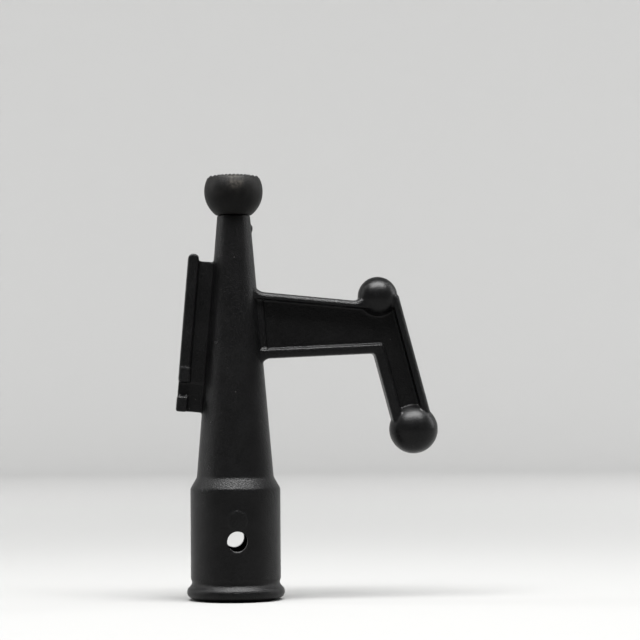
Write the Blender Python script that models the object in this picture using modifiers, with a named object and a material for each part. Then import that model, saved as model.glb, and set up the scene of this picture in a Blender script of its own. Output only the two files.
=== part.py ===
"""Boat hook head: a hollow nylon moulding that slips over a pole, with a push-on rubber tip.

The pole's axis is +Z, the socket's mouth is at Z = 0 and the hook reaches out along +X.
"""

import math

import bmesh
import bpy

MM = 0.001

# The pole, and the socket that takes it
POLE_RADIUS = 14.3 * MM
POLE_CLEARANCE = 0.3 * MM
SOCKET_WALL = 3.3 * MM
SOCKET_RADIUS = POLE_RADIUS + POLE_CLEARANCE + SOCKET_WALL
SOCKET_TOP = 44.0 * MM
POLE_STOP = 45.0 * MM
MOUTH_CHAMFER = 1.0 * MM
RIM_RADIUS = 19.4 * MM
RIM_HEIGHT = 5.6 * MM
RIM_NECK = 0.4 * MM
WITNESS_HEIGHT = 8.2 * MM

# The tapered shaft, its shell and the spigot that carries the tip
SHAFT_BASE = 48.6 * MM
SHAFT_BASE_RADIUS = 15.3 * MM
NECK_TOP = 152.8 * MM
NECK_RADIUS = 6.6 * MM
SHELL = 3.2 * MM
CORE_TOP = 145.0 * MM
SPIGOT_RADIUS = 4.2 * MM
SPIGOT_LENGTH = 10.5 * MM

# The cross hole for the pole's snap button, and the blank disc above it
BUTTON_HEIGHT = 23.8 * MM
BUTTON_RADIUS = 4.0 * MM
BLANK_HEIGHT = 31.9 * MM
BLANK_RADIUS = 3.6 * MM
BLANK_RELIEF = 0.25 * MM

# The gate's nub on the parting line
NUB_HEIGHT = 147.6 * MM
NUB_RADIUS = 1.1 * MM
NUB_REACH = 0.5 * MM

# The arm and the leg, an I-section with the web in the plane Y = 0
ARM_HALF_DEPTH = 5.7 * MM
WEB_HALF = 1.75 * MM
LAND_HALF = 3.7 * MM
LAND_WIDTH = 1.8 * MM
EDGE_ROUND = 1.3 * MM
ARM_TOP = (38.5 * MM, 119.4 * MM)
ARM_TOP_SLOPE = -0.098
ARM_BOTTOM = (16.3 * MM, 95.7 * MM)
ARM_BOTTOM_SLOPE = 0.0415
TOP_FLANGE = 2.8 * MM
BOTTOM_FLANGE = 3.65 * MM
TOP_ROOT_FILLET = 5.0 * MM
BOTTOM_ROOT_FILLET = 4.0 * MM
ELBOW = (57.5 * MM, 120.1 * MM)
ELBOW_RADIUS = 8.0 * MM
END_BALL = (71.5 * MM, 67.0 * MM)
END_BALL_RADIUS = 9.6 * MM
LEG_HALF_WIDTH = 7.8 * MM
LEG_FLANGE = 3.4 * MM

# The rail on the back of the shaft, measured along it and out from the shaft's side
RAIL_FOOT = 74.0 * MM
RAIL_TILT = math.radians(4.95)
RAIL_REACH = 10.4 * MM
RAIL_LENGTH = 62.9 * MM
RAIL_WEB_LENGTH = 60.3 * MM
RAIL_THICKNESS = 4.3 * MM
RAIL_HALF_DEPTH = 4.8 * MM
RAIL_WEB_HALF = 1.9 * MM
FOOT_WEB_HALF = 1.5 * MM
FOOT_LENGTH = 6.2 * MM
NOTCH_TOP = 11.9 * MM
STEP_TOP = 17.6 * MM
STEP_HALF_DEPTH = 5.15 * MM
RAIL_EDGE_ROUND = 0.7 * MM

# The rubber tip
TIP_RADIUS = 11.7 * MM
TIP_CENTRE = 162.4 * MM
TIP_GAP = 0.3 * MM
TIP_BOTTOM_RADIUS = 7.4 * MM
TIP_SHOULDER = 168.5 * MM
CROWN_RISE = 1.0 * MM
PIP_PITCH = 1.52 * MM
PIP_WIDTH = 0.8 * MM
PIP_HEIGHT = 0.5 * MM

SEGMENTS = 64
OVERLAP = 2.0 * MM
BEYOND = 30.0 * MM
MERGE = 0.00001


def clear_scene():
    for obj in list(bpy.data.objects):
        bpy.data.objects.remove(obj)


def new_collection(name):
    collection = bpy.data.collections.new(name)
    bpy.context.scene.collection.children.link(collection)
    return collection


def place(name, data, collection):
    """Puts data in the scene as an object; what is in the tools' collection stays out of a render."""
    obj = bpy.data.objects.new(name, data)
    collection.objects.link(obj)
    if collection.name == "tools":
        obj.hide_render = True
        obj.display_type = "WIRE"
    return obj


def finish_material(name, colour, roughness):
    material = bpy.data.materials.new(name)
    material.use_nodes = True
    shader = material.node_tree.nodes["Principled BSDF"]
    shader.inputs["Base Color"].default_value = (*colour, 1.0)
    shader.inputs["Metallic"].default_value = 0.0
    shader.inputs["Roughness"].default_value = roughness
    return material


def shaft_radius(height):
    """Outer radius of the tapered shaft at a height."""
    taper = (SHAFT_BASE_RADIUS - NECK_RADIUS) / (NECK_TOP - SHAFT_BASE)
    return NECK_RADIUS + (NECK_TOP - height) * taper


def arc(centre, radius, start, end, steps):
    """Points of an arc from one angle to the other, in degrees, both ends included."""
    angles = [math.radians(start + (end - start) * i / steps) for i in range(steps + 1)]
    return [(centre[0] + radius * math.cos(a), centre[1] + radius * math.sin(a)) for a in angles]


def rounded(corners, steps=6):
    """The outline through corners (x, z, radius), with each corner rounded to its radius."""
    points = []
    for i, (x, z, radius) in enumerate(corners):
        if radius == 0:
            points.append((x, z))
            continue
        before = corners[i - 1]
        after = corners[(i + 1) % len(corners)]
        a = math.atan2(before[1] - z, before[0] - x)
        b = math.atan2(after[1] - z, after[0] - x)
        turn = (b - a + math.pi) % (2 * math.pi) - math.pi
        reach = radius / math.sin(abs(turn) / 2)
        middle = a + turn / 2
        centre = (x + reach * math.cos(middle), z + reach * math.sin(middle))
        sweep = math.copysign(math.pi - abs(turn), turn)
        first = middle + math.pi + sweep / 2
        for step in range(steps + 1):
            angle = first - sweep * step / steps
            points.append((centre[0] + radius * math.cos(angle), centre[1] + radius * math.sin(angle)))
    return points


def turned(name, profile, collection, segments=SEGMENTS):
    """A solid turned about Z from (radius, height) points that run down its outer side."""
    mesh = bpy.data.meshes.new(name)
    points = [(radius, 0, height) for radius, height in profile]
    mesh.from_pydata(points, [(i, i + 1) for i in range(len(points) - 1)], [])
    obj = place(name, mesh, collection)
    screw = obj.modifiers.new("turn", "SCREW")
    screw.steps = segments
    screw.render_steps = segments
    screw.use_merge_vertices = True
    screw.merge_threshold = MERGE
    return obj


def prism(name, outline, low, high, collection):
    """A solid with an outline in X and Z, from Y = low to Y = high."""
    curve = bpy.data.curves.new(name, "CURVE")
    curve.dimensions = "2D"
    curve.fill_mode = "BOTH"
    curve.extrude = (high - low) / 2
    spline = curve.splines.new("POLY")
    spline.points.add(len(outline) - 1)
    for point, (x, z) in zip(spline.points, outline):
        point.co = (x, z, 0, 1)
    spline.use_cyclic_u = True
    flat = place(name + "_outline", curve, collection)
    flat.location.y = (low + high) / 2
    flat.rotation_euler.x = math.pi / 2
    return solid_from_curve(flat, name, collection)


def solid_from_curve(flat, name, collection):
    """A mesh object in place of a filled curve, with its caps welded on."""
    bpy.context.view_layer.update()
    evaluated = flat.evaluated_get(bpy.context.evaluated_depsgraph_get())
    mesh = bpy.data.meshes.new_from_object(evaluated)
    shape = bmesh.new()
    shape.from_mesh(mesh)
    bmesh.ops.remove_doubles(shape, verts=shape.verts, dist=MERGE)
    bmesh.ops.recalc_face_normals(shape, faces=shape.faces)
    shape.to_mesh(mesh)
    shape.free()
    obj = place(name, mesh, collection)
    obj.matrix_world = flat.matrix_world
    bpy.data.objects.remove(flat)
    return obj


def ball(name, centre, radius, collection):
    shape = bmesh.new()
    bmesh.ops.create_uvsphere(shape, u_segments=40, v_segments=20, radius=radius)
    mesh = bpy.data.meshes.new(name)
    shape.to_mesh(mesh)
    shape.free()
    obj = place(name, mesh, collection)
    obj.location = (centre[0], 0, centre[1])
    return obj


def peg(name, radius, length, location, rotation, collection, segments=32):
    """A round bar of this length, centred on location."""
    shape = bmesh.new()
    bmesh.ops.create_cone(
        shape, cap_ends=True, segments=segments, radius1=radius, radius2=radius, depth=length
    )
    mesh = bpy.data.meshes.new(name)
    shape.to_mesh(mesh)
    shape.free()
    obj = place(name, mesh, collection)
    obj.location = location
    obj.rotation_euler = rotation
    return obj


def boolean(obj, other, operation):
    modifier = obj.modifiers.new(other.name, "BOOLEAN")
    modifier.object = other
    modifier.operation = operation
    modifier.solver = "MANIFOLD"


def round_edges(obj, width, segments=2):
    bevel = obj.modifiers.new("round", "BEVEL")
    bevel.width = width
    bevel.segments = segments
    bevel.limit_method = "ANGLE"
    bevel.angle_limit = math.radians(40)


def shade(obj):
    obj.data.shade_smooth()
    obj.data.set_sharp_from_angle(angle=math.radians(35))


def shaft_profile():
    """Outside of the spigot, shaft, socket and rim, from the top down."""
    top = NECK_TOP + SPIGOT_LENGTH
    round_end = 1.5 * MM
    profile = [(0, top)]
    profile += arc((SPIGOT_RADIUS - round_end, top - round_end), round_end, 90, 0, 3)
    profile += [(SPIGOT_RADIUS, NECK_TOP), (NECK_RADIUS, NECK_TOP)]
    profile += [(SHAFT_BASE_RADIUS, SHAFT_BASE), (SOCKET_RADIUS, SOCKET_TOP)]
    profile += [(SOCKET_RADIUS, WITNESS_HEIGHT), (SOCKET_RADIUS - RIM_NECK, WITNESS_HEIGHT - RIM_NECK)]
    profile += rim_profile()
    profile += [(0, 0)]
    return profile


def rim_profile():
    """The rolled rim, from the neck above it round to its flat bottom."""
    roll = 2.4 * MM
    middle = (RIM_RADIUS - roll, roll + 0.6 * MM)
    neck = [(SOCKET_RADIUS - RIM_NECK, RIM_HEIGHT + 0.6 * MM)]
    return neck + arc(middle, roll, 45, -60, 7) + [(RIM_RADIUS - 2.6 * MM, 0)]


def core_profile():
    """The hollow: the pole's bore with its mouth chamfer, the stop, and the cored-out shaft."""
    bore = POLE_RADIUS + POLE_CLEARANCE
    dome = shaft_radius(CORE_TOP) - SHELL
    profile = arc((0, CORE_TOP), dome, 90, 0, 4)
    profile += [(shaft_radius(SHAFT_BASE) - SHELL, POLE_STOP), (bore, POLE_STOP)]
    profile += [(bore, MOUTH_CHAMFER), (bore + MOUTH_CHAMFER, 0)]
    profile += [(bore + MOUTH_CHAMFER, -MOUTH_CHAMFER), (0, -MOUTH_CHAMFER)]
    return profile


def on_line(start, slope, x):
    return start[1] + slope * (x - start[0])


def corner_at_shaft(start, slope, inset):
    """Where a flange's outer line meets the shaft's side, moved in by inset."""
    taper = (SHAFT_BASE_RADIUS - NECK_RADIUS) / (NECK_TOP - SHAFT_BASE)
    x = shaft_radius(on_line(start, slope, 0)) - inset
    x /= 1 + taper * slope
    return x, on_line(start, slope, x)


def leg_point(along, side):
    """A point on the leg: along it from the elbow's centre, and out to one side of its middle line."""
    length = math.dist(ELBOW, END_BALL)
    ux = (END_BALL[0] - ELBOW[0]) / length
    uz = (END_BALL[1] - ELBOW[1]) / length
    return ELBOW[0] + ux * along - uz * side, ELBOW[1] + uz * along + ux * side


def leg_crossing(start, slope, side):
    """Where an arm line meets the leg's line at this offset from its middle."""
    x0, z0 = leg_point(0, side)
    x1, z1 = leg_point(END_BALL_RADIUS, side)
    share = (on_line(start, slope, x0) - z0) / (z1 - z0 - slope * (x1 - x0))
    return x0 + (x1 - x0) * share, z0 + (z1 - z0) * share


def arm_outline():
    """The arm and leg's outer edge, with its root inside the shaft's wall."""
    inset = 0.3 * MM
    leg_length = math.dist(ELBOW, END_BALL)
    top_root = corner_at_shaft(ARM_TOP, ARM_TOP_SLOPE, inset)
    bottom_root = corner_at_shaft(ARM_BOTTOM, ARM_BOTTOM_SLOPE, inset)
    rise = 7.0 * MM
    above = top_root[1] + rise
    below = bottom_root[1] - rise
    curl = (ELBOW[0] - 0.93 * ELBOW_RADIUS, 0)
    corners = [
        (0, above, 0),
        (shaft_radius(above) - inset, above, 0),
        (*top_root, TOP_ROOT_FILLET),
        (curl[0], on_line(ARM_TOP, ARM_TOP_SLOPE, curl[0]), 1.6 * MM),
        (curl[0] + 1.2 * MM, ELBOW[1] + 4.0 * MM, 0),
        (*leg_point(-2.0 * MM, LEG_HALF_WIDTH), 0),
        (*leg_point(leg_length, LEG_HALF_WIDTH), 0),
        (*leg_point(leg_length, -LEG_HALF_WIDTH), 0),
        (*leg_crossing(ARM_BOTTOM, ARM_BOTTOM_SLOPE, -LEG_HALF_WIDTH), 1.0 * MM),
        (*bottom_root, BOTTOM_ROOT_FILLET),
        (shaft_radius(below) - inset, below, 0),
        (0, below, 0),
    ]
    return rounded(corners)


def pocket_outline():
    """The recess between the flanges, from inside the shaft out along the arm and down the leg."""
    inner_top = (ARM_TOP[0], ARM_TOP[1] - TOP_FLANGE)
    inner_bottom = (ARM_BOTTOM[0], ARM_BOTTOM[1] + BOTTOM_FLANGE)
    side = LEG_HALF_WIDTH - LEG_FLANGE
    leg_end = math.dist(ELBOW, END_BALL) + OVERLAP
    corners = [
        (*corner_at_shaft(inner_top, ARM_TOP_SLOPE, OVERLAP), 0),
        (*leg_crossing(inner_top, ARM_TOP_SLOPE, side), 0),
        (*leg_point(leg_end, side), 0),
        (*leg_point(leg_end, -side), 0),
        (*leg_crossing(inner_bottom, ARM_BOTTOM_SLOPE, -side), 0.5 * MM),
        (*corner_at_shaft(inner_bottom, ARM_BOTTOM_SLOPE, OVERLAP), 0),
    ]
    return rounded(corners, steps=3)


def make_land(tools):
    """The thicker strip of web along the shaft."""
    inner_top = (ARM_TOP[0], ARM_TOP[1] - TOP_FLANGE / 2)
    inner_bottom = (ARM_BOTTOM[0], ARM_BOTTOM[1] + BOTTOM_FLANGE / 2)
    corners = [
        corner_at_shaft(inner_top, ARM_TOP_SLOPE, OVERLAP),
        corner_at_shaft(inner_top, ARM_TOP_SLOPE, -LAND_WIDTH),
        corner_at_shaft(inner_bottom, ARM_BOTTOM_SLOPE, -LAND_WIDTH),
        corner_at_shaft(inner_bottom, ARM_BOTTOM_SLOPE, OVERLAP),
    ]
    return prism("land", corners, -LAND_HALF, LAND_HALF, tools)


def make_arm(tools):
    arm = prism("arm", arm_outline(), -ARM_HALF_DEPTH, ARM_HALF_DEPTH, tools)
    round_edges(arm, EDGE_ROUND)
    outline = pocket_outline()
    boolean(arm, prism("pocket_front", outline, -BEYOND, -WEB_HALF, tools), "DIFFERENCE")
    boolean(arm, prism("pocket_back", outline, WEB_HALF, BEYOND, tools), "DIFFERENCE")
    return arm


def rail_point(along, out):
    """A point on the rail: along it from its foot, and out from the shaft's side."""
    foot = (-shaft_radius(RAIL_FOOT), RAIL_FOOT)
    sine = math.sin(RAIL_TILT)
    cosine = math.cos(RAIL_TILT)
    return foot[0] + along * sine - out * cosine, foot[1] + along * cosine + out * sine


def rail_block(name, start, end, inner, outer, half_depth, tools, top_radius=0.0):
    """A bar of the rail, between two distances along it and two out from the shaft."""
    corners = [
        (*rail_point(start, inner), 0),
        (*rail_point(start, outer), 0),
        (*rail_point(end, outer), top_radius),
        (*rail_point(end, inner), top_radius),
    ]
    return prism(name, rounded(corners, steps=5), -half_depth, half_depth, tools)


def make_rail(tools):
    inner = RAIL_REACH - RAIL_THICKNESS
    under = 0.2 * MM
    web = rail_block(
        "rail_web", NOTCH_TOP, RAIL_WEB_LENGTH, -OVERLAP, RAIL_REACH - OVERLAP, RAIL_WEB_HALF, tools
    )
    foot_web = rail_block(
        "foot_web", under, NOTCH_TOP + OVERLAP, -OVERLAP, RAIL_REACH - under, FOOT_WEB_HALF, tools
    )
    bar = rail_block(
        "rail_bar", NOTCH_TOP + under, RAIL_LENGTH, inner, RAIL_REACH, RAIL_HALF_DEPTH, tools,
        top_radius=1.8 * MM,
    )
    step = rail_block(
        "rail_step", NOTCH_TOP, STEP_TOP, inner - under, RAIL_REACH - under, STEP_HALF_DEPTH, tools
    )
    foot = rail_block("rail_foot", 0, FOOT_LENGTH, inner, RAIL_REACH, RAIL_HALF_DEPTH, tools)
    for block in (bar, foot):
        round_edges(block, RAIL_EDGE_ROUND)
    return [web, foot_web, bar, step, foot]


def make_blank(tools):
    """The thin disc where a second button hole could be drilled, following the socket's side."""
    skin = SOCKET_RADIUS + BLANK_RELIEF
    low = BLANK_HEIGHT - 2 * BLANK_RADIUS
    high = BLANK_HEIGHT + 2 * BLANK_RADIUS
    band = turned("blank", [(0, high), (skin, high), (skin, low), (0, low)], tools)
    plug = peg(
        "blank_edge", BLANK_RADIUS, BEYOND, (0, -BEYOND / 2, BLANK_HEIGHT), (math.pi / 2, 0, 0), tools
    )
    boolean(band, plug, "INTERSECT")
    return band


def make_body(parts, tools):
    body = turned("hook_body", shaft_profile(), parts)
    along_y = (math.pi / 2, 0, 0)
    along_x = (0, math.pi / 2, 0)
    nub_x = shaft_radius(NUB_HEIGHT) + NUB_REACH
    nub = peg("nub", NUB_RADIUS, 2 * OVERLAP, (nub_x - OVERLAP, 0, NUB_HEIGHT), along_x, tools, 12)
    joined = [make_arm(tools), make_land(tools)]
    joined += make_rail(tools)
    joined += [
        ball("elbow_ball", ELBOW, ELBOW_RADIUS, tools),
        ball("end_ball", END_BALL, END_BALL_RADIUS, tools),
        make_blank(tools),
        nub,
    ]
    for solid in joined:
        boolean(body, solid, "UNION")
    boolean(body, turned("core", core_profile(), tools), "DIFFERENCE")
    hole = peg("button_hole", BUTTON_RADIUS, 2 * BEYOND, (0, 0, BUTTON_HEIGHT), along_y, tools)
    boolean(body, hole, "DIFFERENCE")
    body.data.materials.append(finish_material("nylon", (0.018, 0.018, 0.019), 0.5))
    shade(body)
    return body


def dome_height(radius, drop):
    """Height of the crown's dome above the tip's shoulder, lowered by drop."""
    edge = math.sqrt(TIP_RADIUS**2 - (TIP_SHOULDER - TIP_CENTRE) ** 2)
    return CROWN_RISE * (1 - (radius / edge) ** 2) - drop


def tip_profile(drop):
    """The tip in half section, from the crown down the outside and up its bore to the axis."""
    shoulder = TIP_SHOULDER - TIP_CENTRE
    edge = math.sqrt(TIP_RADIUS**2 - shoulder**2)
    rings = 4
    base = TIP_CENTRE - NECK_TOP
    profile = [
        (edge * i / rings, base + shoulder + dome_height(edge * i / rings, drop)) for i in range(rings + 1)
    ]
    start = math.degrees(math.asin((shoulder - drop - 0.05 * MM) / TIP_RADIUS))
    profile += arc((0, base), TIP_RADIUS, start, 0, 5)
    lower = base - TIP_GAP
    for i in range(1, 7):
        angle = math.acos(TIP_BOTTOM_RADIUS / TIP_RADIUS) * i / 6
        sink = math.sin(angle) / math.sin(math.acos(TIP_BOTTOM_RADIUS / TIP_RADIUS))
        profile.append((TIP_RADIUS * math.cos(angle), base - (lower - 0.3 * MM) * sink))
    profile.append((TIP_BOTTOM_RADIUS - 0.3 * MM, TIP_GAP))
    bore = SPIGOT_RADIUS + TIP_GAP
    end = SPIGOT_LENGTH + TIP_GAP
    return profile + [(bore, TIP_GAP), (bore, end), (0, end)]


def make_tip(parts, tools):
    """The tip stands on the neck, with its origin on the spigot's axis; its crown carries square pips."""
    tip = turned("pusher_tip", tip_profile(PIP_HEIGHT), parts)
    tip.location.z = NECK_TOP
    tip.data.materials.append(finish_material("rubber", (0.020, 0.019, 0.018), 0.7))
    full = turned("crown", tip_profile(0.0), tools)
    full.location.z = NECK_TOP
    grid = pip_grid(tools)
    boolean(grid, full, "INTERSECT")
    boolean(tip, grid, "UNION")
    shade(tip)
    return tip


def pip_grid(tools):
    """Square posts, standing where the crown has its pips."""
    reach = math.sqrt(TIP_RADIUS**2 - (TIP_SHOULDER - TIP_CENTRE) ** 2)
    count = int(reach / PIP_PITCH)
    low = TIP_SHOULDER - 1.6 * MM
    high = TIP_SHOULDER + 3.0 * MM
    shape = bmesh.new()
    for i in range(-count, count + 1):
        for j in range(-count, count + 1):
            x = i * PIP_PITCH
            y = j * PIP_PITCH
            if math.hypot(x, y) > reach:
                continue
            post = bmesh.ops.create_cube(shape, size=1.0)["verts"]
            bmesh.ops.scale(shape, vec=(PIP_WIDTH, PIP_WIDTH, high - low), verts=post)
            bmesh.ops.translate(shape, vec=(x, y, (low + high) / 2), verts=post)
    mesh = bpy.data.meshes.new("pips")
    shape.to_mesh(mesh)
    shape.free()
    return place("pips", mesh, tools)


def main():
    clear_scene()
    parts = new_collection("boat_hook")
    tools = new_collection("tools")
    make_body(parts, tools)
    make_tip(parts, tools)


main()
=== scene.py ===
import math

import bmesh
import bpy
from mathutils import Matrix, Vector


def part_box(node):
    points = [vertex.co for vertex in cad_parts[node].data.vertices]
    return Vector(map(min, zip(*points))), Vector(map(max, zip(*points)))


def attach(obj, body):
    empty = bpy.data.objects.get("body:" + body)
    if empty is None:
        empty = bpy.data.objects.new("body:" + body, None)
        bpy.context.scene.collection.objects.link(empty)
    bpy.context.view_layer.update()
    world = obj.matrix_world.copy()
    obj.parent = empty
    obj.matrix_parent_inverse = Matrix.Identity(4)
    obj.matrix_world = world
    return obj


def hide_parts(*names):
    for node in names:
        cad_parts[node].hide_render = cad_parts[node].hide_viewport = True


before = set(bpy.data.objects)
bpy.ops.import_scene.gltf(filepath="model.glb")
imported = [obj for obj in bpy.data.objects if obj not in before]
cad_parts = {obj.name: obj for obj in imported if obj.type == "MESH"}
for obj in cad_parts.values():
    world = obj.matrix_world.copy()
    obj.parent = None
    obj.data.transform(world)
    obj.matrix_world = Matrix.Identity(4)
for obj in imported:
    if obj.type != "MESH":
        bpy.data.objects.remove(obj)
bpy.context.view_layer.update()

mm = 0.001
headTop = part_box("hook_body")[1][2] / mm
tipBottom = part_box("pusher_tip")[0][2] / mm


# outlines below are lists of (x, z), profiles lists of (radius, height), and sizes are in millimetres

def makeObject(name, shape):
    mesh = bpy.data.meshes.new(name)
    bmesh.ops.recalc_face_normals(shape, faces=shape.faces)
    shape.to_mesh(mesh)
    shape.free()
    obj = bpy.data.objects.new(name, mesh)
    bpy.context.scene.collection.objects.link(obj)
    return obj


def arc(centre, radius, start, end, steps):
    angles = [math.radians(start + (end - start) * i / steps) for i in range(steps + 1)]
    return [(centre[0] + radius * math.cos(a), centre[1] + radius * math.sin(a)) for a in angles]


# rounds each corner (x, z, radius) of an open or closed outline
def roundCorners(corners, steps=8, closed=False):
    points = []
    for i, (x, z, radius) in enumerate(corners):
        atEnd = not closed and i in (0, len(corners) - 1)
        if radius == 0 or atEnd:
            points.append((x, z))
            continue
        here = Vector((x, z))
        toLast = (Vector(corners[i - 1][:2]) - here).normalized()
        toNext = (Vector(corners[(i + 1) % len(corners)][:2]) - here).normalized()
        half = toLast.angle(toNext) / 2
        centre = here + (toLast + toNext).normalized() * (radius / math.sin(half))
        first = here + toLast * (radius / math.tan(half)) - centre
        last = here + toNext * (radius / math.tan(half)) - centre
        turn = first.angle_signed(last)
        for step in range(steps + 1):
            spoke = Matrix.Rotation(-turn * step / steps, 2) @ first
            points.append(tuple(centre + spoke))
    return points


# turns a profile about Z; a point on the axis becomes one pole
def turned(name, profile, steps=180):
    shape = bmesh.new()
    rings = []
    for radius, height in profile:
        count = 1 if radius == 0 else steps
        angles = [2 * math.pi * i / count for i in range(count)]
        rings.append([shape.verts.new((radius * math.cos(a) * mm, radius * math.sin(a) * mm, height * mm))
                      for a in angles])
    for upper, lower in zip(rings, rings[1:]):
        for i in range(steps):
            corners = [upper[i % len(upper)], lower[i % len(lower)],
                       lower[(i + 1) % len(lower)], upper[(i + 1) % len(upper)]]
            corners = list(dict.fromkeys(corners))
            if len(corners) > 2:
                shape.faces.new(corners)
    return makeObject(name, shape)


# a flat bar with an outline in X and Z; the edges along outer and along inner get their own rounding
def bar(name, outer, inner, halfDepth, outerRound=0.0, innerRound=0.0):
    shape = bmesh.new()
    outline = outer + inner
    front = [shape.verts.new((x * mm, -halfDepth * mm, z * mm)) for x, z in outline]
    back = [shape.verts.new((x * mm, halfDepth * mm, z * mm)) for x, z in outline]
    shape.faces.new(front)
    shape.faces.new(list(reversed(back)))
    for i in range(len(outline)):
        j = (i + 1) % len(outline)
        shape.faces.new([front[j], front[i], back[i], back[j]])
    bmesh.ops.recalc_face_normals(shape, faces=shape.faces)

    def rims(start, stop):
        return [shape.edges.get((side[i], side[i + 1]))
                for side in (front, back) for i in range(start, stop - 1)]

    outerRims = rims(0, len(outer))
    innerRims = rims(len(outer), len(outline))
    for edges, width in ((outerRims, outerRound), (innerRims, innerRound)):
        if width:
            bmesh.ops.bevel(shape, geom=edges, offset=width * mm, offset_type="OFFSET", segments=5,
                            profile=0.5, affect="EDGES", clamp_overlap=False)
    return makeObject(name, shape)


def ballAt(name, centre, radius):
    shape = bmesh.new()
    bmesh.ops.create_icosphere(shape, subdivisions=5, radius=radius * mm)
    bmesh.ops.translate(shape, vec=(centre[0] * mm, 0, centre[1] * mm), verts=shape.verts)
    return makeObject(name, shape)


# a round rod about any axis
def rod(name, radius, length, centre, direction, steps=64):
    shape = bmesh.new()
    turn = Vector(direction).to_track_quat("Z", "Y").to_matrix().to_4x4()
    place = Matrix.Translation(Vector(centre) * mm) @ turn
    bmesh.ops.create_cone(shape, cap_ends=True, segments=steps, radius1=radius * mm, radius2=radius * mm,
                          depth=length * mm, matrix=place)
    return makeObject(name, shape)


# puts the result of obj's modifiers in its mesh
def settle(obj):
    graph = bpy.context.evaluated_depsgraph_get()
    graph.update()
    mesh = bpy.data.meshes.new_from_object(obj.evaluated_get(graph))
    obj.modifiers.clear()
    obj.data = mesh
    return obj


def merge(name, solids):
    shape = bmesh.new()
    for solid in solids:
        shape.from_mesh(solid.data)
        bpy.data.objects.remove(solid)
    return makeObject(name, shape)


def combine(obj, other, operation):
    step = obj.modifiers.new(other.name, "BOOLEAN")
    step.operation = operation
    step.object = other
    step.solver = "MANIFOLD"
    settle(obj)
    bpy.data.objects.remove(other)
    return obj


# melts overlapping solids into one skin with moulded corners
def melt(obj, voxel, smoothing):
    skin = obj.modifiers.new("skin", "REMESH")
    skin.mode = "VOXEL"
    skin.voxel_size = voxel * mm
    soften = obj.modifiers.new("soften", "SMOOTH")
    soften.factor = 0.5
    soften.iterations = smoothing
    return settle(obj)


def smoothShade(obj, sharpAngle):
    obj.data.shade_smooth()
    obj.data.set_sharp_from_angle(angle=math.radians(sharpAngle))


# the socket, shaft and spigot stand on the pole's axis, with the mouth at height 0
shaft = {
    "socketRadius": 17.9, "socketTop": 44.1, "baseRadius": 15.3, "base": 48.6,
    "neckRadius": 6.6, "neckTop": tipBottom - 0.3, "neckRound": 0.25,
    "rimRadius": 19.45, "rimHeight": 3.2, "rimRoll": 2.6, "rimSweep": 62, "rimFoot": 3.6,
    "rimNeckRadius": 17.45, "rimTop": 6.6, "witness": 8.2, "witnessFall": 0.35,
    "spigotRadius": 4.2, "spigotRound": 1.5, "spigotTop": headTop,
    "boreRadius": 14.6, "boreStop": 45.0, "shell": 3.2, "coreTop": 145.0, "mouthChamfer": 1.0,
    "buttonHeight": 23.8, "buttonRadius": 4.0, "buttonEdge": 0.35,
    "blankHeight": 31.9, "blankRadius": 3.6, "blankRelief": 0.4,
    "nubHeight": 147.6, "nubRadius": 1.1, "nubReach": 0.5, "nubLength": 4,
}
# cutters run this far past the skin
beyond = 30
shaftTaper = (shaft["baseRadius"] - shaft["neckRadius"]) / (shaft["neckTop"] - shaft["base"])


def shaftRadius(height):
    return shaft["neckRadius"] + (shaft["neckTop"] - height) * shaftTaper


def makeShaft():
    s = shaft
    end = s["spigotRound"]
    corner = s["neckRound"]
    profile = [(0, s["spigotTop"])]
    profile += arc((s["spigotRadius"] - end, s["spigotTop"] - end), end, 90, 0, 6)
    profile += [(s["spigotRadius"], s["neckTop"])]
    profile += arc((s["neckRadius"] - corner, s["neckTop"] - corner), corner, 90, 5, 4)
    profile += [(s["baseRadius"], s["base"]), (s["socketRadius"], s["socketTop"])]
    profile += [(s["socketRadius"], s["witness"]), (s["rimNeckRadius"], s["witness"] - s["witnessFall"])]
    profile += [(s["rimNeckRadius"], s["rimTop"])]
    rollAt = (s["rimRadius"] - s["rimRoll"], s["rimHeight"])
    profile += arc(rollAt, s["rimRoll"], s["rimSweep"], -s["rimSweep"], 14)
    profile += [(s["rimRadius"] - s["rimFoot"], 0), (0, 0)]
    return turned("shaft", profile)


def makeCore():
    s = shaft
    dome = shaftRadius(s["coreTop"]) - s["shell"]
    bore = s["boreRadius"]
    profile = arc((0, s["coreTop"]), dome, 90, 0, 8)
    profile[0] = (0, profile[0][1])
    profile += [(shaftRadius(s["base"]) - s["shell"], s["boreStop"]), (bore, s["boreStop"])]
    profile += [(bore, s["mouthChamfer"]), (bore + 2 * s["mouthChamfer"], -s["mouthChamfer"])]
    profile += [(0, -s["mouthChamfer"])]
    return turned("core", profile)


# the cross hole is one rod, flared where it leaves the socket's skin
def makeButtonHole():
    s = shaft
    flare = s["socketRadius"] - s["buttonEdge"]
    wide = s["buttonRadius"] + beyond - flare
    profile = [(0, beyond), (wide, beyond), (s["buttonRadius"], flare)]
    profile += [(s["buttonRadius"], -flare), (wide, -beyond), (0, -beyond)]
    hole = turned("buttonHole", profile, 72)
    place = Matrix.Translation((0, 0, s["buttonHeight"] * mm)) @ Matrix.Rotation(math.pi / 2, 4, "X")
    hole.data.transform(place)
    return hole


# a blank disc for a second hole, following the socket's skin on the front
def makeBlank():
    s = shaft
    skin = s["socketRadius"] + s["blankRelief"]
    low = s["blankHeight"] - 2 * s["blankRadius"]
    high = s["blankHeight"] + 2 * s["blankRadius"]
    disc = turned("blank", [(0, high), (skin, high), (skin, low), (0, low)])
    plug = rod("plug", s["blankRadius"], beyond, (0, -beyond / 2, s["blankHeight"]), (0, 1, 0))
    return combine(disc, plug, "INTERSECT")


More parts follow.
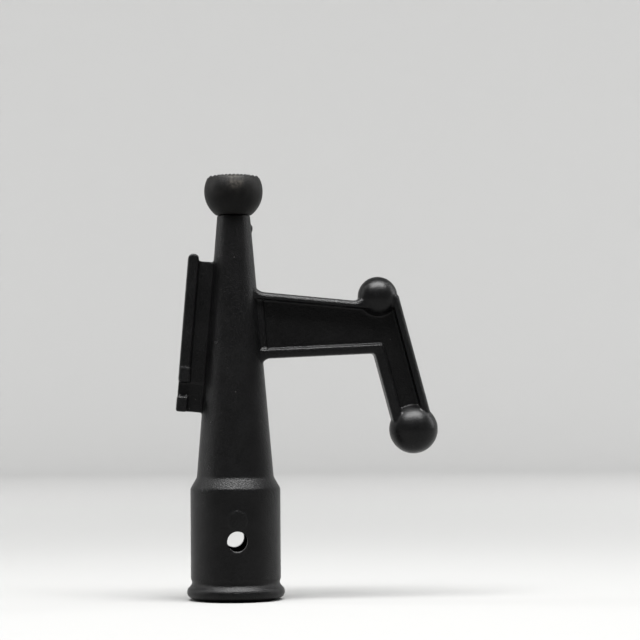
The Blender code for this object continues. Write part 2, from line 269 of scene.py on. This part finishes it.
# the hook is an arm and a leg with a flange round a thin web, and a ball at each end of the leg
hook = {
    "halfDepth": 5.4, "webHalf": 1.75, "landHalf": 3.7, "landWidth": 1.8,
    "upperRound": 2.2, "lowerRound": 1.7, "innerRound": 0.7,
    "top": (38.5, 119.4), "topSlope": -0.098, "bottom": (16.3, 95.7), "bottomSlope": 0.0415,
    "topFlange": 2.8, "bottomFlange": 3.65, "topRoot": 5.0, "bottomRoot": 4.0,
    "elbow": (57.5, 120.1), "elbowRadius": 8.0, "curl": 4.0, "curlStart": 8.8,
    "saddle": ((-5, 1), (-3, 1.2)), "brow": (-2.5, 4.6), "browEnd": 1.8, "hiddenLeg": 3, "hiddenArm": 4.5,
    "endBall": (71.5, 67.0), "endRadius": 9.75,
    "legOuter": 8.0, "legOuterFlange": 3.3, "legInner": -7.45, "legInnerFlange": 4.15,
    "rootRise": 7.0, "rootInset": 0.3, "rootTuck": 2.2, "innerElbow": 1.2, "gapElbow": 0.6, "overlap": 1.0,
}


def onLine(start, slope, x):
    return start[1] + slope * (x - start[0])


# where a line of the arm meets the shaft's side, moved inwards by inset
def atShaft(start, slope, inset):
    x = (shaftRadius(onLine(start, slope, 0)) - inset) / (1 + shaftTaper * slope)
    return x, onLine(start, slope, x)


def onLeg(along, side):
    h = hook
    down = (Vector(h["endBall"]) - Vector(h["elbow"])).normalized()
    across = Vector((-down.y, down.x))
    return tuple(Vector(h["elbow"]) + down * along + across * side)


def meetLeg(start, slope, side):
    x0, z0 = onLeg(0, side)
    x1, z1 = onLeg(10, side)
    share = (onLine(start, slope, x0) - z0) / (z1 - z0 - slope * (x1 - x0))
    return x0 + (x1 - x0) * share, z0 + (z1 - z0) * share


def makeHook():
    h = hook
    legEnd = math.dist(h["elbow"], h["endBall"])
    innerTop = (h["top"][0], h["top"][1] - h["topFlange"])
    innerBottom = (h["bottom"][0], h["bottom"][1] + h["bottomFlange"])
    inner = h["legInner"] + h["legInnerFlange"]
    outer = h["legOuter"] - h["legOuterFlange"]

    topRoot = atShaft(h["top"], h["topSlope"], h["rootInset"])
    rise = topRoot[1] + h["rootRise"]
    curlX = h["elbow"][0] - h["curlStart"]
    saddle = [(h["elbow"][0] + x, h["elbow"][1] + z, 0) for x, z in h["saddle"]]
    upper = roundCorners([
        (0, rise, 0), (shaftRadius(rise) - h["rootTuck"], rise, 0), (*topRoot, h["topRoot"]),
        (curlX, onLine(h["top"], h["topSlope"], curlX), h["curl"]),
        *saddle, (*onLeg(*h["brow"]), 0), (*onLeg(h["browEnd"], h["legOuter"]), 0),
        (*onLeg(legEnd, h["legOuter"]), 0)])
    hidden = h["elbow"][0] - h["hiddenArm"]
    upperInside = [onLeg(legEnd, outer), onLeg(h["hiddenLeg"], outer),
                   (hidden, onLine(innerTop, h["topSlope"], hidden)), (0, onLine(innerTop, h["topSlope"], 0))]

    bottomRoot = atShaft(h["bottom"], h["bottomSlope"], h["rootInset"])
    fall = bottomRoot[1] - h["rootRise"]
    lower = roundCorners([
        (*onLeg(legEnd, h["legInner"]), 0),
        (*meetLeg(h["bottom"], h["bottomSlope"], h["legInner"]), h["innerElbow"]),
        (*bottomRoot, h["bottomRoot"]), (shaftRadius(fall) - h["rootTuck"], fall, 0), (0, fall, 0)])
    lowerInside = roundCorners([
        (0, onLine(innerBottom, h["bottomSlope"], 0), 0),
        (*meetLeg(innerBottom, h["bottomSlope"], inner), h["gapElbow"]), (*onLeg(legEnd, inner), 0)])

    within = h["overlap"]
    web = [(0, onLine(h["top"], h["topSlope"], 0) - within), meetLeg(h["top"], h["topSlope"], outer + within),
           onLeg(legEnd, outer + within), onLeg(legEnd, inner - within),
           meetLeg(h["bottom"], h["bottomSlope"], inner - within),
           (0, onLine(h["bottom"], h["bottomSlope"], 0) + within)]
    land = [atShaft(innerTop, h["topSlope"], within), atShaft(innerTop, h["topSlope"], -h["landWidth"]),
            atShaft(innerBottom, h["bottomSlope"], -h["landWidth"]),
            atShaft(innerBottom, h["bottomSlope"], within)]
    return [
        bar("upperFlange", upper, upperInside, h["halfDepth"], h["upperRound"], h["innerRound"]),
        bar("lowerFlange", lower, lowerInside, h["halfDepth"], h["lowerRound"], h["innerRound"]),
        bar("web", web, [], h["webHalf"]),
        bar("land", land, [], h["landHalf"]),
        ballAt("elbowBall", h["elbow"], h["elbowRadius"]),
        ballAt("endBall", h["endBall"], h["endRadius"]),
    ]


# the rail down the back is measured along it from its foot, and out from the shaft's side
rail = {
    "foot": 74.0, "tilt": 4.95, "reach": 10.4, "length": 62.9, "webLength": 60.3, "thickness": 4.3,
    "halfDepth": 4.8, "webHalf": 1.9, "footWebHalf": 1.5, "footLength": 6.2, "notchTop": 11.9,
    "stepTop": 17.6, "stepHalfDepth": 5.15, "edgeRound": 0.7, "stepRound": 0.3, "topRound": 1.8,
    "inset": 0.2, "overlap": 2,
}


def onRail(along, out):
    tilt = math.radians(rail["tilt"])
    x = -shaftRadius(rail["foot"]) + along * math.sin(tilt) - out * math.cos(tilt)
    return x, rail["foot"] + along * math.cos(tilt) + out * math.sin(tilt)


def railBar(name, start, end, inner, outer, halfDepth, edgeRound=0.0, topRound=0.0):
    corners = [(*onRail(start, inner), 0), (*onRail(start, outer), 0),
               (*onRail(end, outer), topRound), (*onRail(end, inner), topRound)]
    solid = bar(name, roundCorners(corners, closed=True), [], halfDepth)
    if edgeRound:
        roundOff = solid.modifiers.new("round", "BEVEL")
        roundOff.width = edgeRound * mm
        roundOff.segments = 4
        roundOff.limit_method = "ANGLE"
        settle(solid)
    return solid


def makeRail():
    r = rail
    inner = r["reach"] - r["thickness"]
    inset = r["inset"]
    lap = r["overlap"]
    return [
        railBar("railWeb", r["notchTop"], r["webLength"], -lap, r["reach"] - lap, r["webHalf"]),
        railBar("footWeb", inset, r["notchTop"] + lap, -lap, r["reach"] - inset, r["footWebHalf"]),
        railBar("railBar", r["notchTop"] + inset, r["length"], inner, r["reach"], r["halfDepth"],
                r["edgeRound"], r["topRound"]),
        railBar("railStep", r["notchTop"], r["stepTop"], inner - inset, r["reach"] - inset,
                r["stepHalfDepth"], r["stepRound"]),
        railBar("railFoot", 0, r["footLength"], inner, r["reach"], r["halfDepth"], r["edgeRound"]),
    ]


def makeMoulding():
    s = shaft
    nubX = shaftRadius(s["nubHeight"]) + s["nubReach"] - s["nubLength"] / 2
    nub = rod("nub", s["nubRadius"], s["nubLength"], (nubX, 0, s["nubHeight"]), (1, 0, 0), 24)
    solids = [makeShaft(), makeBlank(), nub] + makeHook() + makeRail()
    moulding = melt(merge("hook_moulding", solids), voxel=0.44, smoothing=3)
    combine(moulding, makeCore(), "DIFFERENCE")
    combine(moulding, makeButtonHole(), "DIFFERENCE")
    smoothShade(moulding, 40)
    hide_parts("hook_body")
    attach(moulding, "head")
    print("hook moulding:", len(moulding.data.polygons), "faces")
    return moulding


# the tip is a ball with a crowned flat on top and a blind bore from below
tip = {
    "radius": 11.7, "centre": 162.4, "gap": 0.15, "bottomRadius": 7.4, "bottomRound": 0.3,
    "shoulder": 168.4, "crownRise": 1.0,
    "pipPitch": 1.52, "pipWidth": 0.85, "pipHeight": 0.5, "pipFoot": 1.6, "pipTop": 3,
    "boreRadius": 4.5, "boreTop": shaft["spigotTop"] + 0.3,
}


def tipProfile(drop):
    t = tip
    shoulder = t["shoulder"] - t["centre"]
    edge = math.sqrt(t["radius"] ** 2 - shoulder ** 2)
    rows = 8
    profile = [(edge * i / rows, t["shoulder"] + t["crownRise"] * (1 - (i / rows) ** 2) - drop)
               for i in range(rows + 1)]
    belowCrown = 0.05
    start = math.degrees(math.asin((shoulder - drop - belowCrown) / t["radius"]))
    profile += arc((0, t["centre"]), t["radius"], start, 0, 12)
    lowest = math.acos(t["bottomRadius"] / t["radius"])
    base = shaft["neckTop"] + t["gap"]
    depth = t["centre"] - base - t["bottomRound"]
    steps = 14
    for i in range(1, steps + 1):
        angle = lowest * i / steps
        fall = depth * math.sin(angle) / math.sin(lowest)
        profile.append((t["radius"] * math.cos(angle), t["centre"] - fall))
    return profile + [(t["bottomRadius"] - t["bottomRound"], base), (t["boreRadius"], base),
                      (t["boreRadius"], t["boreTop"]), (0, t["boreTop"])]


def makePips():
    t = tip
    reach = math.sqrt(t["radius"] ** 2 - (t["shoulder"] - t["centre"]) ** 2)
    count = int(reach / t["pipPitch"])
    low = t["shoulder"] - t["pipFoot"]
    high = t["shoulder"] + t["pipTop"]
    shape = bmesh.new()
    for i in range(-count, count + 1):
        for j in range(-count, count + 1):
            x = i * t["pipPitch"]
            y = j * t["pipPitch"]
            if math.hypot(x, y) > reach:
                continue
            size = Matrix.Diagonal((t["pipWidth"] * mm, t["pipWidth"] * mm, (high - low) * mm, 1))
            place = Matrix.Translation((x * mm, y * mm, (low + high) / 2 * mm))
            bmesh.ops.create_cube(shape, size=1.0, matrix=place @ size)
    pips = makeObject("pips", shape)
    return combine(pips, turned("crown", tipProfile(0.0)), "INTERSECT")


def makeTip():
    cap = merge("rubber_tip", [turned("cap", tipProfile(tip["pipHeight"])), makePips()])
    melt(cap, voxel=0.26, smoothing=1)
    smoothShade(cap, 50)
    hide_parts("pusher_tip")
    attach(cap, "tip")
    print("rubber tip:", len(cap.data.polygons), "faces")
    return cap


# a socket that can be used in a sum, so that shader maths reads as an expression
class Signal:
    def __init__(self, shader, socket):
        self.shader = shader
        self.socket = socket

    def maths(self, operation, first, second):
        return self.shader.node("ShaderNodeMath", {"operation": operation}, {0: first, 1: second})

    def __add__(self, other):
        return self.maths("ADD", self, other)

    def __radd__(self, other):
        return self.maths("ADD", other, self)

    def __sub__(self, other):
        return self.maths("SUBTRACT", self, other)

    def __rsub__(self, other):
        return self.maths("SUBTRACT", other, self)

    def __mul__(self, other):
        return self.maths("MULTIPLY", self, other)

    def __rmul__(self, other):
        return self.maths("MULTIPLY", other, self)


class Shader:
    def __init__(self, name):
        self.material = bpy.data.materials.new(name)
        self.material.use_nodes = True
        self.tree = self.material.node_tree
        self.surface = self.tree.nodes["Principled BSDF"]

    # one node: its settings first, then the values or links of its sockets
    def node(self, kind, settings=None, inputs=None, output=0):
        made = self.tree.nodes.new(kind)
        for key, value in (settings or {}).items():
            setattr(made, key, value)
        for key, value in (inputs or {}).items():
            self.feed(made.inputs[key], value)
        return Signal(self, made.outputs[output])

    def feed(self, socket, value):
        if isinstance(value, Signal):
            self.tree.links.new(value.socket, socket)
        else:
            socket.default_value = value

    def place(self):
        return self.node("ShaderNodeTexCoord", output="Object")

    # noise whose features are about this many millimetres wide
    def noise(self, size, detail, roughness):
        return self.node("ShaderNodeTexNoise", inputs={"Vector": self.place(), "Scale": 1 / (size * mm),
                                                       "Detail": detail, "Roughness": roughness})

    def window(self, value, low, high):
        return self.node("ShaderNodeMapRange", {"interpolation_type": "SMOOTHSTEP"},
                         {"Value": value, "From Min": low, "From Max": high})

    def blend(self, mask, first, second):
        return self.node("ShaderNodeMix", {"data_type": "RGBA"}, {0: mask, 6: first, 7: second}, output=2)

    # tiny round specks, one in some of the cells of this many millimetres
    def specks(self, cell, radius, share):
        cells = {"Vector": self.place(), "Scale": 1 / (cell * mm)}
        nearness = self.node("ShaderNodeTexVoronoi", inputs=cells, output="Distance")
        pick = self.node("ShaderNodeTexVoronoi", inputs=cells, output="Color")
        chance = self.node("ShaderNodeSeparateColor", inputs={0: pick})
        spot = 1 - self.window(nearness, radius * 0.5, radius)
        return spot * self.window(chance, 1 - share, 1 - share * 0.9)

    # 1 on the hook's two balls, 0 elsewhere
    def ballMask(self):
        mask = 0
        for centre, radius in ((hook["elbow"], hook["elbowRadius"]), (hook["endBall"], hook["endRadius"])):
            middle = (centre[0] * mm, 0, centre[1] * mm)
            away = self.node("ShaderNodeVectorMath", {"operation": "DISTANCE"}, {0: self.place(), 1: middle},
                             output="Value")
            inside, outside = radius + 0.1, radius + 0.5
            mask = mask + (1 - self.window(away, inside * mm, outside * mm))
        return mask

    def bump(self, height, depth, normal=None):
        inputs = {"Height": height, "Distance": depth * mm, "Strength": 1.0}
        if normal:
            inputs["Normal"] = normal
        return self.node("ShaderNodeBump", inputs=inputs)

    def finish(self, **sockets):
        for name, value in sockets.items():
            self.feed(self.surface.inputs[name.replace("_", " ")], value)
        return self.material


nylonLook = {
    "dark": (0.0004, 0.0004, 0.0005, 1), "light": (0.0050, 0.0050, 0.0052, 1), "dust": (0.12, 0.115, 0.11, 1),
    # the next colour is lighter: real scuffs and a painted highlight along convex edges both blend towards it
    "wearAndHighlight": (0.010, 0.010, 0.0105, 1), "gloss": 0.16,
    "cloud": {"size": 14, "detail": 4, "roughness": 0.6}, "cloudWindow": (0.3, 0.7), "cloudShare": 0.35,
    "grain": {"size": 0.5, "detail": 2, "roughness": 0.6}, "grainWindow": (0.35, 0.65), "grainShare": 0.65,
    "wave": {"size": 5.0, "detail": 2, "roughness": 0.5}, "waveDepth": 0.03, "grainDepth": 0.2, "polish": 0.3,
    "scuff": {"size": 3, "detail": 6, "roughness": 0.7}, "scuffWindow": (0.6, 0.75), "scuffStrength": 0.5,
    # the edge window and edge strength on this line paint a highlight along convex edges; the scuff share is
    # real scuffing
    "edgeWindow": (0.53, 0.62), "edgeHighlight": 0.6, "scuffWear": 0.35,
    "specks": {"cell": 2.6, "radius": 0.07, "share": 0.10},
    "rough": 0.27, "cloudRough": 0.05, "grainRough": 0.08, "edgePolish": 0.08, "scuffRough": 0.1,
}


def nylonMaterial():
    look = nylonLook
    s = Shader("nylon")
    cloud = s.noise(**look["cloud"])
    grain = s.noise(**look["grain"])
    # mask of convex edges, used for the painted edge highlight and for smoother edges
    edges = s.window(s.node("ShaderNodeNewGeometry", output="Pointiness"), *look["edgeWindow"])
    scuff = s.window(s.noise(**look["scuff"]), *look["scuffWindow"]) * look["scuffStrength"]
    mottle = s.window(cloud, *look["cloudWindow"]) * look["cloudShare"]
    mottle = mottle + s.window(grain, *look["grainWindow"]) * look["grainShare"]
    colour = s.blend(mottle, look["dark"], look["light"])
    # convex edges are painted lighter as a painted highlight, and scuffs are lightened as real wear
    colour = s.blend(edges * look["edgeHighlight"] + scuff * look["scuffWear"], colour, look["wearAndHighlight"])
    colour = s.blend(s.specks(**look["specks"]), colour, look["dust"])
    rough = look["rough"] + cloud * look["cloudRough"] + grain * look["grainRough"]
    rough = rough - edges * look["edgePolish"] + scuff * look["scuffRough"]
    texture = 1 - (1 - look["polish"]) * s.ballMask()
    normal = s.bump(s.noise(**look["wave"]), look["waveDepth"])
    normal = s.bump(grain * texture, look["grainDepth"], normal)
    return s.finish(Base_Color=colour, Roughness=rough, Normal=normal, Specular_IOR_Level=look["gloss"])


rubberLook = {
    "dark": (0.0014, 0.0013, 0.0012, 1), "light": (0.0042, 0.0040, 0.0036, 1),
    "scuffed": (0.055, 0.049, 0.041, 1), "gloss": 0.13,
    "cloud": {"size": 4, "detail": 5, "roughness": 0.65}, "cloudWindow": (0.35, 0.7),
    "grain": {"size": 0.45, "detail": 2, "roughness": 0.6}, "grainDepth": 0.12,
    "scuffAt": (0.3, -11.0, 166.0), "scuffCore": 0.45, "scuffRadius": 4.5, "scuffStrength": 0.9,
    "patch": {"size": 1.6, "detail": 5, "roughness": 0.7}, "patchWindow": (0.35, 0.7),
    "specks": {"cell": 1.8, "radius": 0.08, "share": 0.12}, "speckStrength": 0.5,
    "rough": 0.40, "cloudRough": 0.12, "grainRough": 0.08,
}


def rubberMaterial():
    look = rubberLook
    s = Shader("rubber")
    cloud = s.noise(**look["cloud"])
    grain = s.noise(**look["grain"])
    near = s.node("ShaderNodeVectorMath", {"operation": "DISTANCE"},
                  {0: s.place(), 1: [v * mm for v in look["scuffAt"]]}, output="Value")
    patch = 1 - s.window(near, look["scuffCore"] * mm, look["scuffRadius"] * mm)
    patch = patch * s.window(s.noise(**look["patch"]), *look["patchWindow"])
    dust = s.specks(**look["specks"])
    colour = s.blend(s.window(cloud, *look["cloudWindow"]), look["dark"], look["light"])
    colour = s.blend(patch * look["scuffStrength"] + dust * look["speckStrength"], colour, look["scuffed"])
    rough = look["rough"] + cloud * look["cloudRough"] + grain * look["grainRough"]
    return s.finish(Base_Color=colour, Roughness=rough, Normal=s.bump(grain, look["grainDepth"]),
                    Specular_IOR_Level=look["gloss"])


# the studio, in metres: a pale bowl with a flat floor, soft boxes and a plain pale sky
studio = {
    "floorRadius": 1.7, "sweep": 0.7, "wallTop": 2.0,
    "floor": (0.22, 0.22, 0.217, 1), "pale": (0.56, 0.56, 0.555, 1), "grey": (0.08, 0.08, 0.08, 1),
    "floorFade": (0.3, 1.7), "frontFade": (-0.2, -1.0), "frontShare": 0.6,
    "cloud": {"size": 900, "detail": 2, "roughness": 0.5}, "rough": 0.85, "cloudRough": 0.08,
    "sky": 0.06, "display": "Standard",
    "lamps": {
        "above": {"at": (0.03, -0.25, 1.05), "aim": (0.03, -0.02, 0), "size": (1.2, 0.5), "power": 54},
        "washLeft": {"at": (-1.1, 0.35, 0.8), "aim": (0.5, 2.4, 0.4), "size": (0.6, 1.2), "power": 17},
        "washRight": {"at": (1.15, 0.35, 0.8), "aim": (-0.5, 2.4, 0.4), "size": (0.6, 1.2), "power": 17},
    },
}


def makeBowl():
    st = studio
    shape = bmesh.new()
    floor = st["floorRadius"]
    profile = [(floor * i / 4, 0) for i in range(1, 5)]
    profile += arc((floor, st["sweep"]), st["sweep"], -90, 0, 16)[1:]
    profile.append((floor + st["sweep"], st["wallTop"]))
    steps = 96
    angles = [2 * math.pi * i / steps for i in range(steps)]
    rings = [[shape.verts.new((r * math.cos(a), r * math.sin(a), z)) for a in angles] for r, z in profile]
    shape.faces.new(rings[0])
    for low, high in zip(rings, rings[1:]):
        for i in range(steps):
            j = (i + 1) % steps
            shape.faces.new([low[i], low[j], high[j], high[i]])
    bowl = makeObject("studioBowl", shape)
    bowl.data.shade_smooth()
    paint = Shader("paleFloor")
    across = paint.node("ShaderNodeSeparateXYZ", inputs={0: paint.place()}, output="Y")
    rough = st["rough"] + paint.noise(**st["cloud"]) * st["cloudRough"]
    away = paint.node("ShaderNodeVectorMath", {"operation": "LENGTH"}, {0: paint.place()}, output="Value")
    colour = paint.blend(paint.window(away, *st["floorFade"]), st["floor"], st["pale"])
    colour = paint.blend(paint.window(across, *st["frontFade"]) * st["frontShare"], colour, st["grey"])
    bowl.data.materials.append(paint.finish(Base_Color=colour, Roughness=rough))


def makeLights():
    st = studio
    for name, lamp in st["lamps"].items():
        light = bpy.data.lights.new(name, "AREA")
        light.shape = "RECTANGLE"
        light.size, light.size_y = lamp["size"]
        light.energy = lamp["power"]
        obj = bpy.data.objects.new(name, light)
        obj.location = lamp["at"]
        obj.rotation_euler = (Vector(lamp["aim"]) - Vector(lamp["at"])).to_track_quat("-Z", "Y").to_euler()
        bpy.context.scene.collection.objects.link(obj)
    bpy.context.scene.view_settings.view_transform = st["display"]
    world = bpy.data.worlds.new("sky")
    world.use_nodes = True
    world.node_tree.nodes["Background"].inputs["Color"].default_value = (1, 1, 1, 1)
    world.node_tree.nodes["Background"].inputs["Strength"].default_value = st["sky"]
    bpy.context.scene.world = world


# span is the width seen at the object, in millimetres like distance
view = {
    "aim": (34.3, 0, 110.9), "distance": 950, "azimuth": -4.4, "elevation": -2.0, "roll": -0.45, "span": 256,
    "sensor": 36,
}


def makeCamera():
    v = view
    camera = bpy.data.cameras.new("camera")
    camera.sensor_width = v["sensor"]
    camera.lens = camera.sensor_width * v["distance"] / v["span"]
    azimuth = math.radians(v["azimuth"])
    elevation = math.radians(v["elevation"])
    back = Vector((math.sin(azimuth) * math.cos(elevation), -math.cos(azimuth) * math.cos(elevation),
                   math.sin(elevation)))
    obj = bpy.data.objects.new("camera", camera)
    obj.location = (Vector(v["aim"]) + back * v["distance"]) * mm
    turn = back.to_track_quat("Z", "Y").to_matrix().to_4x4()
    roll = Matrix.Rotation(math.radians(v["roll"]), 4, "Z")
    obj.rotation_euler = (turn @ roll).to_euler()
    bpy.context.scene.collection.objects.link(obj)
    bpy.context.scene.camera = obj


moulding = makeMoulding()
moulding.data.materials.clear()
moulding.data.materials.append(nylonMaterial())
cap = makeTip()
cap.data.materials.clear()
cap.data.materials.append(rubberMaterial())
print("materials done")
makeBowl()
makeLights()
makeCamera()
print("studio done")
